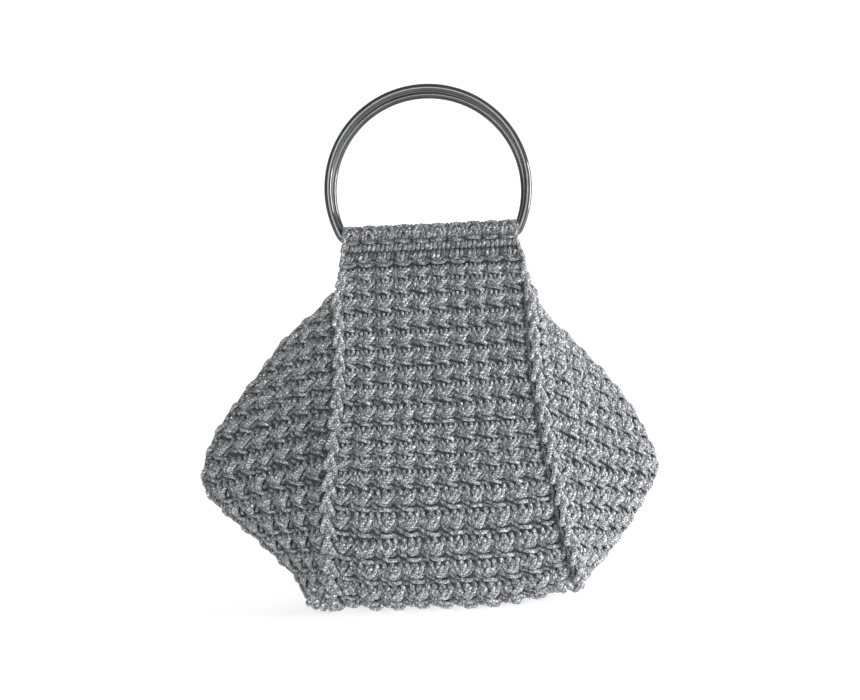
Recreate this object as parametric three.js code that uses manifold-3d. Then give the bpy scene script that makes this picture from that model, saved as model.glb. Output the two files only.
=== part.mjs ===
// A crocheted handbag that stands on its base. One strip of thick crochet makes the front, the base and the
// back. A gusset closes each side and is folded outwards into a wing, a braided cord joins each gusset to the
// strip, and two metal D-handles turn in the folded hems.
// Millimetres, +Z up, the front towards -Y, the origin in the middle of the base.

import * as THREE from 'three';
import { mergeVertices } from 'three/addons/utils/BufferGeometryUtils.js';
import Module from 'manifold-3d';

const wasm = await Module();
wasm.setup();

// Crochet and the clearance between pieces
const WALL = 4.5;
const GAP = 0.3;

// Handles: a round bow of rod with a straight bar across its foot
const ROD_RADIUS = 2.5;
const HANDLE_WIDTH = 130;
const BOW_RADIUS = HANDLE_WIDTH / 2 - ROD_RADIUS;
const BOW_CENTRE_ABOVE_BAR = 30.4;
const CORNER_RADIUS = 6;
const BAR_DEPTH = 20;
const BAR_HEIGHT = 231.2;
const ROD_SIDES = 10;
const ROD_STEPS = 72;

// Hems: each end of the strip folded round a bar, outwards, and sewn down
const CHANNEL_RADIUS = ROD_RADIUS + 0.35;
const HEM_RADIUS = CHANNEL_RADIUS + WALL;
const HEM_HALF_LENGTH = 58.2;
const HEM_ARC_DROP = THREE.MathUtils.degToRad(20);
const HEM_ARC_STEPS = 14;
const CHANNEL_SIDES = 16;

// Corners of a hem's section besides its round top: up the inside, then down the flap to its stitched edge
const HEM_INSIDE = table(['depth', 'height'], [
  [17.6, 212.4],
  [14.3, 221],
]);
const HEM_FLAP = table(['depth', 'height'], [
  [26, 219.4],
  [25.5, 215.8],
  [23.8, 214.4],
  [20, 214.8],
]);

// The room that a handle's corner sweeps as it turns: radius from the bar's axis, and how far out along the
// bar the crochet may reach there.
const SWING_ROOM = table(['radius', 'reach'], [
  [0, 50.4],
  [2.95, 50.4],
  [4.2, 53],
  [8, 55.1],
  [12, 56.5],
  [16, 57.6],
  [20, 58.3],
  [20, 70],
  [0, 70],
]);

// The strip, from the middle of the base up to the hem. Depth is measured from the middle of the bag, once
// along the middle of the strip and once along its sewn edges, where the base curls up. Sway is how far the
// slack lower part has shifted to the right, and rightLift how much higher its right edge sits.
const STRIP = table(['midDepth', 'midHeight', 'edgeDepth', 'edgeHeight', 'halfWidth', 'sway', 'rightLift'], [
  [0, 0, 0, 5.2, 73, 6, 5],
  [20, 0, 19, 5.2, 73, 6, 5],
  [36, 0, 33, 5.7, 73, 6, 5],
  [46, 3, 40, 9.6, 73.3, 6.5, 4.5],
  [53, 12, 45, 18.3, 73.4, 6.5, 3.5],
  [56.5, 27, 48, 31, 72.5, 4.5, 2],
  [57.5, 45, 49.5, 48, 70.8, 2.2, 0.8],
  [57, 64, 50, 66, 69.4, 0.6, 0.2],
  [55, 85, 49, 86, 66.8, 0, 0],
  [51.5, 106, 46.5, 106, 64, 0, 0],
  [46.5, 127, 42.5, 127, 61.2, 0, 0],
  [40.5, 147, 37.5, 147, 59, 0, 0],
  [34.5, 165, 32.5, 165, 58.7, 0, 0],
  [29, 182, 28, 182, 58.7, 0, 0],
  [24.5, 198, 24, 198, 58.7, 0, 0],
  [21.2, 212, 21.2, 212, 58.4, 0, 0],
  [20, 222, 20, 222, 57.6, 0, 0],
]);

// Share of each half of the strip, out from its middle line, that does not curl
const LEFT_FLAT_SHARE = 0.5;
const RIGHT_FLAT_SHARE = 0.25;
const STRIP_STEPS_ALONG = 50;
const STRIP_STEPS_ACROSS = 14;

// The gussets, from the base up: each crochet row runs from the front seam round the ridge to the back seam,
// and the left wing reaches out further than the right one.
const GUSSET = table(['seamHeight', 'ridgeHeight', 'leftReach', 'rightReach'], [
  [7.4, 8, 73, 83.5],
  [11.6, 3.6, 88.5, 90],
  [22, 15, 93, 97],
  [38, 30, 106, 107],
  [57, 46, 121, 119],
  [76, 61, 136.5, 128],
  [94, 74, 148, 135],
  [106, 83, 151.5, 136.5],
  [120, 96, 149, 133],
  [135, 112, 142, 126],
  [150, 131, 128, 113],
  [165, 150, 112, 97.5],
  [177, 166, 99, 84],
  [187, 180, 82, 70.5],
  [194, 191, 68.5, 64],
  [198, 198, 61.8, 61.8],
]);
const RIDGE_ROUNDING = 8;
const RIDGE_CROWDING = 0.65;
const GUSSET_INSET = GAP + WALL / 2;
const GUSSET_ROWS = 18;
const GUSSET_STEPS_ACROSS = 14;

// The braided seams
const SEAM_RADIUS = 2.4;
const SEAM_OUT = 1.5;
const SEAM_SINK = 0.4;
const SEAM_SIDES = 8;
const SEAM_STEPS = 44;

// Accuracy: the parameter step for a surface's normal, how close merged points lie, and how often the search
// for a row number halves its range
const NORMAL_STEP = 1e-4;
const MERGE_WITHIN = 1e-4;
const HALVINGS = 40;

// Finishes
const GREY_YARN = { color: 0x82858a, roughness: 0.95, metalness: 0 };
const DARK_CHROME = { color: 0x8a8c8f, roughness: 0.18, metalness: 1 };

// Rows of numbers under named columns
function table(columns, rows) {
  return rows.map((row) => Object.fromEntries(columns.map((column, i) => [column, row[i]])));
}

// A smooth curve through one column of a table, which keeps level stretches level. The place is a row number.
function smooth(rows, column, place) {
  const last = rows.length - 1;
  const step = (i) => rows[i + 1][column] - rows[i][column];
  const slope = (i) => {
    if (i === 0 || i === last) return step(Math.min(i, last - 1));
    const before = step(i - 1);
    const after = step(i);
    return before * after > 0 ? (2 * before * after) / (before + after) : 0;
  };
  const i = Math.min(Math.max(Math.floor(place), 0), last - 1);
  const f = place - i;
  const rise = step(i);
  const bend = slope(i) + slope(i + 1) - 2 * rise;
  const lean = 3 * rise - 2 * slope(i) - slope(i + 1);
  return rows[i][column] + f * (slope(i) + f * (lean + f * bend));
}

// The row number at which a rising column reaches a value
function placeOf(rows, column, value) {
  let low = 0;
  let high = rows.length - 1;
  for (let i = 0; i < HALVINGS; i += 1) {
    const middle = (low + high) / 2;
    if (smooth(rows, column, middle) < value) low = middle;
    else high = middle;
  }
  return (low + high) / 2;
}

// Outer face of the strip. Along runs from -1 at the front hem through 0 under the base to 1 at the back hem,
// and across from -1 at the left edge to 1 at the right edge.
function stripPoint(along, across) {
  const place = Math.abs(along) * (STRIP.length - 1);
  const at = (column) => smooth(STRIP, column, place);
  const flat = across < 0 ? LEFT_FLAT_SHARE : RIGHT_FLAT_SHARE;
  const curl = Math.max(0, (Math.abs(across) - flat) / (1 - flat)) ** 2;
  const depth = THREE.MathUtils.lerp(at('midDepth'), at('edgeDepth'), curl);
  const edgeHeight = at('edgeHeight') + (across > 0 ? at('rightLift') : 0);
  const height = THREE.MathUtils.lerp(at('midHeight'), edgeHeight, curl);
  const x = across * at('halfWidth') + at('sway');
  return new THREE.Vector3(x, Math.sign(along) * depth, height);
}

// Middle of the gusset's wall on one side. Up runs from 0 at the base to 1 at the top row, and round from -1
// at the front seam through 0 at the ridge to 1 at the back seam.
function gussetPoint(side, up, round) {
  const place = up * (GUSSET.length - 1);
  const reach = smooth(GUSSET, side < 0 ? 'leftReach' : 'rightReach', place);
  const stripPlace = placeOf(STRIP, 'edgeHeight', smooth(GUSSET, 'seamHeight', place));
  const seam = seamEdge(side, stripPlace);
  const lift = side < 0 ? 0 : smooth(STRIP, 'rightLift', stripPlace);
  const depth = Math.abs(seam.y);
  const y = depth * THREE.MathUtils.lerp(round, round ** 3, RIDGE_CROWDING);
  const rounded = (d) => Math.hypot(d, RIDGE_ROUNDING) - RIDGE_ROUNDING;
  const share = rounded(y) / rounded(depth);
  const ridge = new THREE.Vector3(side * reach, y, smooth(GUSSET, 'ridgeHeight', place) + lift);
  return ridge.lerp(new THREE.Vector3(seam.x, y, seam.z), share);
}

// Where the middle of a gusset's wall meets the edge of the strip, at a row number of the strip's table
function seamEdge(side, place) {
  const along = -place / (STRIP.length - 1);
  const outer = stripPoint(along, side);
  const middle = outer.addScaledVector(normalOf(stripPoint, along, side), -WALL / 2);
  return middle.add(new THREE.Vector3(side * GUSSET_INSET, 0, 0));
}

// Unit normal of a surface given by a function of two parameters
function normalOf(surface, u, v) {
  const alongU = surface(u + NORMAL_STEP, v).sub(surface(u - NORMAL_STEP, v));
  const alongV = surface(u, v + NORMAL_STEP).sub(surface(u, v - NORMAL_STEP));
  return alongU.cross(alongV).normalize();
}

// A closed wall of even thickness over a grid of surface points: one face lies outer mm along the normal and
// the other inner mm along it.
function wallGeometry(surface, us, vs, outer, inner) {
  const positions = [];
  for (const offset of [outer, inner]) {
    for (const u of us) {
      for (const v of vs) {
        const point = surface(u, v).addScaledVector(normalOf(surface, u, v), offset);
        positions.push(point.x, point.y, point.z);
      }
    }
  }
  const across = vs.length;
  const layer = us.length * across;
  const faces = [];
  const quad = (a, b, c, d) => faces.push(a, b, c, a, c, d);
  for (let i = 0; i < us.length - 1; i += 1) {
    for (let j = 0; j < across - 1; j += 1) {
      const a = i * across + j;
      quad(a, a + across, a + across + 1, a + 1);
      quad(layer + a, layer + a + 1, layer + a + across + 1, layer + a + across);
    }
  }
  for (let i = 0; i < us.length - 1; i += 1) {
    const low = i * across;
    const high = low + across - 1;
    quad(low + across, low, layer + low, layer + low + across);
    quad(high, high + across, layer + high + across, layer + high);
  }
  for (let j = 0; j < across - 1; j += 1) {
    const far = layer - across + j;
    quad(j, j + 1, layer + j + 1, layer + j);
    quad(far + 1, far, layer + far, layer + far + 1);
  }
  const geometry = new THREE.BufferGeometry();
  geometry.setAttribute('position', new THREE.Float32BufferAttribute(positions, 3));
  geometry.setIndex(faces);
  return geometry;
}

function evenSteps(from, to, count) {
  return Array.from({ length: count + 1 }, (_, i) => THREE.MathUtils.lerp(from, to, i / count));
}

function solid(geometry) {
  const bare = geometry.clone();
  bare.deleteAttribute('normal');
  bare.deleteAttribute('uv');
  const merged = mergeVertices(bare, MERGE_WITHIN);
  return new wasm.Manifold(new wasm.Mesh({
    numProp: 3,
    vertProperties: new Float32Array(merged.attributes.position.array),
    triVerts: new Uint32Array(merged.index.array),
  }));
}

function geometryOf(manifold) {
  const mesh = manifold.getMesh();
  const geometry = new THREE.BufferGeometry();
  geometry.setAttribute('position', new THREE.BufferAttribute(mesh.vertProperties, 3));
  geometry.setIndex(new THREE.BufferAttribute(mesh.triVerts, 1));
  return geometry;
}

function piece(name, geometry, finish) {
  geometry.computeVertexNormals();
  const mesh = new THREE.Mesh(geometry, new THREE.MeshStandardMaterial(finish));
  mesh.name = name;
  return mesh;
}

// Turns a shape drawn in depth and height, and extruded along X, into place on the front or the back.
function placeAcross(geometry, face, length) {
  const axes = new THREE.Matrix4().makeBasis(
    new THREE.Vector3(0, face, 0),
    new THREE.Vector3(0, 0, 1),
    new THREE.Vector3(face, 0, 0),
  );
  return geometry.translate(0, 0, -length / 2).applyMatrix4(axes);
}

// Section of a hem: round over the bar, and two layers of crochet down to the stitched edge of the flap
function hemSection() {
  const round = evenSteps(Math.PI + HEM_ARC_DROP, -HEM_ARC_DROP, HEM_ARC_STEPS).map((turn) => ({
    depth: BAR_DEPTH + HEM_RADIUS * Math.cos(turn),
    height: BAR_HEIGHT + HEM_RADIUS * Math.sin(turn),
  }));
  const corners = [...HEM_INSIDE, ...round, ...HEM_FLAP];
  const shape = new THREE.Shape(corners.map((corner) => new THREE.Vector2(corner.depth, corner.height)));
  const channel = new THREE.Path();
  channel.absarc(BAR_DEPTH, BAR_HEIGHT, CHANNEL_RADIUS, 0, 2 * Math.PI, false);
  shape.holes.push(channel);
  return shape;
}

function hem(face) {
  const length = 2 * HEM_HALF_LENGTH;
  const geometry = new THREE.ExtrudeGeometry(hemSection(), {
    depth: length,
    bevelEnabled: false,
    curveSegments: CHANNEL_SIDES,
  });
  return solid(placeAcross(geometry, face, length));
}

function swingRoom(face, side) {
  const profile = SWING_ROOM.map((row) => new THREE.Vector2(row.radius, row.reach));
  const room = new THREE.LatheGeometry(profile, 2 * CHANNEL_SIDES);
  room.rotateZ((-side * Math.PI) / 2);
  return solid(room.translate(0, face * BAR_DEPTH, BAR_HEIGHT));
}

function bodyStrip() {
  const along = evenSteps(-1, 1, STRIP_STEPS_ALONG);
  const across = evenSteps(-1, 1, STRIP_STEPS_ACROSS);
  let strip = solid(wallGeometry(stripPoint, along, across, 0, -WALL));
  for (const face of [-1, 1]) {
    strip = strip.add(hem(face));
    for (const side of [-1, 1]) strip = strip.subtract(swingRoom(face, side));
  }
  return piece('body_strip', geometryOf(strip), GREY_YARN);
}

function gusset(name, side) {
  const surface = (up, round) => gussetPoint(side, up, round);
  const rows = evenSteps(0, 1, GUSSET_ROWS);
  const rounds = evenSteps(-1, 1, GUSSET_STEPS_ACROSS);
  return piece(name, wallGeometry(surface, rows, rounds, WALL / 2, -WALL / 2), GREY_YARN);
}

// The braid lies over the joint, from the top of the gusset at the front, under the base, to the back.
function seam(name, side) {
  const top = placeOf(STRIP, 'edgeHeight', GUSSET.at(-1).seamHeight) / (STRIP.length - 1);
  const points = evenSteps(-top, top, SEAM_STEPS).map((along) => {
    const lift = normalOf(stripPoint, along, side).multiplyScalar(SEAM_RADIUS + GAP - SEAM_SINK);
    return stripPoint(along, side).add(lift).add(new THREE.Vector3(side * SEAM_OUT, 0, 0));
  });
  const section = new THREE.Shape();
  section.absarc(0, 0, SEAM_RADIUS, 0, 2 * Math.PI, false);
  const braid = new THREE.ExtrudeGeometry(section, {
    extrudePath: new THREE.CatmullRomCurve3(points),
    steps: SEAM_STEPS,
    curveSegments: SEAM_SIDES / 2,
    bevelEnabled: false,
  });
  return piece(name, braid, GREY_YARN);
}

// Centre line of a handle in its own upright plane: the bar, a rounded corner, the bow and the other corner
function handleLine() {
  const drop = BOW_CENTRE_ABOVE_BAR - CORNER_RADIUS;
  const cornerOut = Math.sqrt((BOW_RADIUS - CORNER_RADIUS) ** 2 - drop ** 2);
  const lean = Math.atan2(drop, cornerOut);
  const outline = new THREE.Path();
  outline.moveTo(-cornerOut, 0);
  outline.lineTo(cornerOut, 0);
  outline.absarc(cornerOut, CORNER_RADIUS, CORNER_RADIUS, -Math.PI / 2, -lean, false);
  outline.absarc(0, BOW_CENTRE_ABOVE_BAR, BOW_RADIUS, -lean, Math.PI + lean, false);
  outline.absarc(-cornerOut, CORNER_RADIUS, CORNER_RADIUS, Math.PI + lean, 1.5 * Math.PI, false);
  return outline;
}

function handle(name, face) {
  const outline = handleLine();
  const points = outline.getSpacedPoints(ROD_STEPS).slice(0, -1);
  const line = new THREE.CatmullRomCurve3(points.map((p) => new THREE.Vector3(p.x, 0, p.y)), true);
  const rod = new THREE.TubeGeometry(line, ROD_STEPS, ROD_RADIUS, ROD_SIDES, true);
  const mesh = piece(name, geometryOf(solid(rod)), DARK_CHROME);
  mesh.position.set(0, face * BAR_DEPTH, BAR_HEIGHT);
  return mesh;
}

const bag = new THREE.Group();
bag.add(bodyStrip());
bag.add(gusset('left_gusset', -1));
bag.add(gusset('right_gusset', 1));
bag.add(seam('left_seam', -1));
bag.add(seam('right_seam', 1));
bag.add(handle('front_handle', -1));
bag.add(handle('back_handle', 1));

export default bag;
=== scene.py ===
"""The looks of a crocheted handbag with metal D-handles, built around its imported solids.

Lengths are in millimetres until a mesh is made, in the frame of the solids: +X to the right seen from
the front, +Y from the front to the back, +Z up, and the origin in the middle of the base.
"""

import math

import bpy
import numpy as np
from mathutils import Matrix, Vector


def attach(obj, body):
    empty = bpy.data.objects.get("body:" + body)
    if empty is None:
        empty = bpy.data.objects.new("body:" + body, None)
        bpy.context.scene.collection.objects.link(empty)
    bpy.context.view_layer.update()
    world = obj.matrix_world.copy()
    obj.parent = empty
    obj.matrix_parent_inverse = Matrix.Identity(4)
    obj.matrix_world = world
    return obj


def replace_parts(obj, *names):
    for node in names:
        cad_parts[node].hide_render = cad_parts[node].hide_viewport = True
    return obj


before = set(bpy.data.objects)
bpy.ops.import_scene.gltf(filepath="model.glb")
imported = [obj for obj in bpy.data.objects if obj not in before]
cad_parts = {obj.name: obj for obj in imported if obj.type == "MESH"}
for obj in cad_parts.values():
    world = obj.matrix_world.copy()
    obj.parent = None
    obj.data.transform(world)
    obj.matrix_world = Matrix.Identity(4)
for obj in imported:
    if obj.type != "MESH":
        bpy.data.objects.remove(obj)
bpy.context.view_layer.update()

MILLIMETRE = 0.001
draw = np.random.default_rng(20)


# Sizes of the solids that the looks follow

def table(columns, *rows):
    """A short table as one array for each column."""
    return dict(zip(columns, np.array(rows, float).T))


WALL = 4.5
GAP = 0.3
LEFT_FLAT_SHARE = 0.5
RIGHT_FLAT_SHARE = 0.25
STRIP = table(
    ("mid_depth", "mid_height", "edge_depth", "edge_height", "half_width", "sway", "right_lift"),
    (0, 0, 0, 5.2, 73, 6, 5),
    (20, 0, 19, 5.2, 73, 6, 5),
    (36, 0, 33, 5.7, 73, 6, 5),
    (46, 3, 40, 9.6, 73.3, 6.5, 4.5),
    (53, 12, 45, 18.3, 73.4, 6.5, 3.5),
    (56.5, 27, 48, 31, 72.5, 4.5, 2),
    (57.5, 45, 49.5, 48, 70.8, 2.2, 0.8),
    (57, 64, 50, 66, 69.4, 0.6, 0.2),
    (55, 85, 49, 86, 66.8, 0, 0),
    (51.5, 106, 46.5, 106, 64, 0, 0),
    (46.5, 127, 42.5, 127, 61.2, 0, 0),
    (40.5, 147, 37.5, 147, 59, 0, 0),
    (34.5, 165, 32.5, 165, 58.7, 0, 0),
    (29, 182, 28, 182, 58.7, 0, 0),
    (24.5, 198, 24, 198, 58.7, 0, 0),
    (21.2, 212, 21.2, 212, 58.4, 0, 0),
    (20, 222, 20, 222, 57.6, 0, 0),
)
GUSSET_INSET = GAP + WALL / 2
RIDGE_ROUNDING = 8
GUSSET = table(
    ("seam_height", "ridge_height", "left_reach", "right_reach"),
    (7.4, 8, 73, 83.5),
    (11.6, 3.6, 88.5, 90),
    (22, 15, 93, 97),
    (38, 30, 106, 107),
    (57, 46, 121, 119),
    (76, 61, 136.5, 128),
    (94, 74, 148, 135),
    (106, 83, 151.5, 136.5),
    (120, 96, 149, 133),
    (135, 112, 142, 126),
    (150, 131, 128, 113),
    (165, 150, 112, 97.5),
    (177, 166, 99, 84),
    (187, 180, 82, 70.5),
    (194, 191, 68.5, 64),
    (198, 198, 61.8, 61.8),
)
ROD_RADIUS = 2.5
BOW_RADIUS = 62.5
BOW_CENTRE_ABOVE_BAR = 30.4
CORNER_RADIUS = 6
BAR_DEPTH = 20
BAR_HEIGHT = 231.2
HEM_RADIUS = 7.35
HEM_ARC_DROP = math.radians(20)
HEM_REACH = table(
    ("radius", "reach"),
    (0, 50.0),
    (2.95, 50.0),
    (4.2, 52.6),
    (8, 54.7),
    (12, 56.1),
    (16, 57.2),
    (20, 57.9),
    (26, 58.4),
)


# Surfaces of the cloth

PLACE_SAMPLES = 4001
STRIP_SAMPLES = 2001
GUSSET_SAMPLES = 801
GUSSET_MEASURED_AT = 0.5


def smooth(columns, name, place):
    """A column of a table between its rows, by a monotone cubic over the row number."""
    values = columns[name]
    rise = np.diff(values)
    product = rise[:-1] * rise[1:]
    total = np.where(product > 0, rise[:-1] + rise[1:], 1)
    slopes = np.concatenate([rise[:1], np.where(product > 0, 2 * product / total, 0), rise[-1:]])
    i = np.clip(np.floor(place).astype(int), 0, len(rise) - 1)
    f = place - i
    bend = slopes[i] + slopes[i + 1] - 2 * rise[i]
    lean = 3 * rise[i] - 2 * slopes[i] - slopes[i + 1]
    return values[i] + f * (slopes[i] + f * (lean + f * bend))


def place_of(columns, name, value):
    """The row number at which a rising column of a table reaches a value."""
    places = np.linspace(0, len(columns[name]) - 1, PLACE_SAMPLES)
    return np.interp(value, smooth(columns, name, places), places)


def unit(vectors):
    """Vectors at length one."""
    return vectors / np.maximum(np.linalg.norm(vectors, axis=-1, keepdims=True), 1e-12)


def blend(a, b, share):
    """From a to b by a share."""
    return a + (b - a) * share


def points_of(x, y, z):
    """Points from three arrays of one shape, or of shapes that broadcast to one."""
    return np.stack(np.broadcast_arrays(x, y, z), -1)


def facing(surface, u, v, step=1e-3):
    """The direction that a surface faces, which is across its u and then its v direction."""
    along_u = surface(u + step, v) - surface(u - step, v)
    along_v = surface(u, v + step) - surface(u, v - step)
    return unit(np.cross(along_u, along_v))


def travel_of(points):
    """How far along a line of points each of them is."""
    steps = np.linalg.norm(np.diff(points, axis=0), axis=-1)
    return np.concatenate([[0], np.cumsum(steps)])


STRIP_LAST = len(STRIP["mid_depth"]) - 1
GUSSET_LAST = len(GUSSET["seam_height"]) - 1


def strip_point(along, across):
    """The strip's outer face: along from -1 at the front hem to 1 at the back one, across from -1 to 1."""
    place = np.abs(along) * STRIP_LAST
    flat = np.where(np.asarray(across) < 0, LEFT_FLAT_SHARE, RIGHT_FLAT_SHARE)
    curl = np.clip((np.abs(across) - flat) / (1 - flat), 0, None) ** 2
    lift = np.where(np.asarray(across) > 0, smooth(STRIP, "right_lift", place), 0)
    depth = blend(smooth(STRIP, "mid_depth", place), smooth(STRIP, "edge_depth", place), curl)
    height = blend(smooth(STRIP, "mid_height", place), smooth(STRIP, "edge_height", place) + lift, curl)
    x = across * smooth(STRIP, "half_width", place) + smooth(STRIP, "sway", place)
    return points_of(x, np.sign(along) * depth, height)


def strip_edge(side, place):
    """The middle of the wall at the strip's side edge in front, moved out to where a gusset meets it."""
    along = -place / STRIP_LAST
    edge = strip_point(along, side) - facing(strip_point, along, side) * WALL / 2
    return edge + np.array([side * GUSSET_INSET, 0, 0])


def gusset_point(side, up, share):
    """The middle of a gusset's wall: up from 0 to 1, share from -1 at the front seam to 1 at the back one."""
    place = up * GUSSET_LAST
    reach = smooth(GUSSET, "left_reach" if side < 0 else "right_reach", place)
    strip_place = place_of(STRIP, "edge_height", smooth(GUSSET, "seam_height", place))
    seam = strip_edge(side, strip_place)
    lift = 0 if side < 0 else smooth(STRIP, "right_lift", strip_place)
    depth = np.abs(seam[..., 1])
    y = depth * share
    rounded = np.hypot(y, RIDGE_ROUNDING) - RIDGE_ROUNDING
    to_seam = rounded / (np.hypot(depth, RIDGE_ROUNDING) - RIDGE_ROUNDING)
    x = blend(side * reach, seam[..., 0], to_seam)
    z = blend(smooth(GUSSET, "ridge_height", place) + lift, seam[..., 2], to_seam)
    return points_of(x, y, z)


REST_SINK = 2.4
REST_HEIGHT = 9.0
STRIP_ALONG = np.linspace(1, -1, STRIP_SAMPLES)
STRIP_TRAVEL = travel_of(strip_point(STRIP_ALONG, 0.0))


SWELL = table(
    ("size", "x_length", "y_length", "z_length", "start"),
    (0.45, 17, math.inf, 29, 0.6),
    (0.35, -41, 23, 13, 0),
    (0.3, 9.5, 17, 21, 2.1),
)
SWELL_LENGTHS = np.stack([SWELL[name] for name in ("x_length", "y_length", "z_length")])


def swell(points):
    """The slow unevenness of the cloth, in millimetres, as waves along the three axes."""
    phase = np.sum(points[..., None] / SWELL_LENGTHS, -2) + SWELL["start"]
    return np.sum(SWELL["size"] * np.sin(phase), -1)


def rest_sink(points):
    """How far the stitches sink into the cloth where it lies on the floor, in millimetres."""
    return REST_SINK * np.clip(1 - points[..., 2] / REST_HEIGHT, 0, 1) ** 2


# Values with the keys -1 and 1 are those of the left and the right side, here and below
VALLEY_SINK = 2.0
VALLEY_FROM = 0.88
SEAM_SINKS = {-1: 2.8, 1: 0.7}
SEAM_SINK_FROM = 0.82
RIDGE_SINK_FULL = 0.2
RIDGE_SINK_TO = 0.7
RIDGE_SINK = table(
    ("up", "left", "right"),
    (0, 0.8, 4.5),
    (0.07, 0.8, 4.0),
    (0.15, 0.8, 0.4),
    (0.42, 1.0, 0.4),
    (0.53, 1.8, 2.4),
    (0.65, 2.8, 3.0),
    (0.87, 2.8, 3.0),
    (1, 0, 1.5),
)


def seam_sink(side, across):
    """How far the stitches of a gusset sink beside its seams, in millimetres."""
    return SEAM_SINKS[side] * np.clip((np.abs(across) - SEAM_SINK_FROM) / (1 - SEAM_SINK_FROM), 0, 1) ** 2


def valley(across):
    """How far the stitches of the strip sink beside the right seam, in millimetres."""
    return VALLEY_SINK * np.clip((across - VALLEY_FROM) / (1 - VALLEY_FROM), 0, 1)


def ridge_sink(side, up, share):
    """How far the stitches of a gusset sink at its ridge, in millimetres."""
    most = np.interp(up, RIDGE_SINK["up"], RIDGE_SINK["left" if side < 0 else "right"])
    return most * np.clip((RIDGE_SINK_TO - np.abs(share)) / (RIDGE_SINK_TO - RIDGE_SINK_FULL), 0, 1)


def strip_cloth(across, travel):
    """Places on the strip's outer face, and the way out of the cloth; travel starts at the back hem."""
    along = np.interp(travel, STRIP_TRAVEL, STRIP_ALONG)
    across = np.clip(across, -1, 1)
    out = facing(strip_point, along, across)
    points = strip_point(along, across)
    return points + out * (swell(points) - rest_sink(points) - valley(across))[..., None], out


UP_MARGIN = 0.003


def gusset_cloth(side):
    """As strip_cloth, for a gusset's outer face: across from left to right seen from outside, travel up."""
    ups = np.linspace(0, 1, GUSSET_SAMPLES)
    heights = travel_of(gusset_point(side, ups, GUSSET_MEASURED_AT))

    def cloth(across, travel):
        up = np.interp(travel, heights, ups)
        share = np.clip(across, -1, 1) * side
        point = lambda u, s: gusset_point(side, u, s)
        out = -side * facing(point, np.clip(up, UP_MARGIN, 1 - UP_MARGIN), share)
        points = point(up, share) + out * WALL / 2
        sink = rest_sink(points) + seam_sink(side, share) + ridge_sink(side, up, share)
        return points + out * (swell(points) - sink)[..., None], out

    return cloth, heights[-1]


# Depths and heights on a hem's flap and on its inside, below the arc over the bar
HEM_FLAP = ((23.4, 214.0), (25.2, 215.6), (26.0, 219.4))
HEM_INSIDE = ((14.3, 221), (17.6, 212.4))
HEM_ARC_STEPS = 60


def hem_profile():
    """A folded hem's outer line as depths and heights, from its stitched edge over the bar to the inside."""
    turn = np.linspace(-HEM_ARC_DROP, math.pi + HEM_ARC_DROP, HEM_ARC_STEPS)
    arc = np.stack([BAR_DEPTH + HEM_RADIUS * np.cos(turn), BAR_HEIGHT + HEM_RADIUS * np.sin(turn)], -1)
    return np.concatenate([HEM_FLAP, arc, HEM_INSIDE])


HEM_LINE = hem_profile()
HEM_TRAVEL = travel_of(HEM_LINE)
HEM_STEP = 0.7


def hem_line(travel):
    """Depth and height on the hem's outer line."""
    depth = np.interp(travel, HEM_TRAVEL, HEM_LINE[:, 0])
    height = np.interp(travel, HEM_TRAVEL, HEM_LINE[:, 1])
    return depth, height


def hem_half_width(depth, height):
    """How far the cloth of a hem reaches along the bar, clear of the handle's corners."""
    radius = np.hypot(depth - BAR_DEPTH, height - BAR_HEIGHT)
    return np.interp(radius, HEM_REACH["radius"], HEM_REACH["reach"])


def hem_cloth(face):
    """As strip_cloth, for the outside of a hem: face -1 in front, 1 behind; travel from its stitched edge."""
    def cloth(across, travel):
        depth, height = hem_line(travel)
        depth_on, height_on = hem_line(travel + HEM_STEP)
        depth_off, height_off = hem_line(travel - HEM_STEP)
        run = unit(np.stack([depth_on - depth_off, height_on - height_off], -1))
        x = -face * np.clip(across, -1, 1) * hem_half_width(depth, height)
        points = points_of(x, face * depth, height)
        out = points_of(np.zeros_like(x), face * run[..., 1], -run[..., 0])
        return points, out

    return cloth


# Yarn

YARN_SIDES = 6
YARN_STEP = 1.35
LEAST_SAMPLES = 5
LENGTH_SAMPLES = 40
END_TAPER = 0.6
FLOOR_CLEARANCE = 0.05
NOMINAL_CELL = np.array([14.4, 14.4, 1.0])


def spline(knots, samples):
    """The matrix that takes knots to evenly spread samples of a smooth curve through them."""
    weights = np.zeros((samples, knots))
    for row, t in enumerate(np.linspace(0, knots - 1, samples)):
        i = min(int(t), knots - 2)
        f = t - i
        parts = (
            (i - 1, 0.5 * (-f + 2 * f ** 2 - f ** 3)),
            (i, 0.5 * (2 - 5 * f ** 2 + 3 * f ** 3)),
            (i + 1, 0.5 * (f + 4 * f ** 2 - 3 * f ** 3)),
            (i + 2, 0.5 * (-(f ** 2) + f ** 3)),
        )
        for knot, weight in parts:
            if knot < 0:
                weights[row, 0] += 2 * weight
                weights[row, 1] -= weight
            elif knot >= knots:
                weights[row, -1] += 2 * weight
                weights[row, -2] -= weight
            else:
                weights[row, knot] += weight
    return weights


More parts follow.
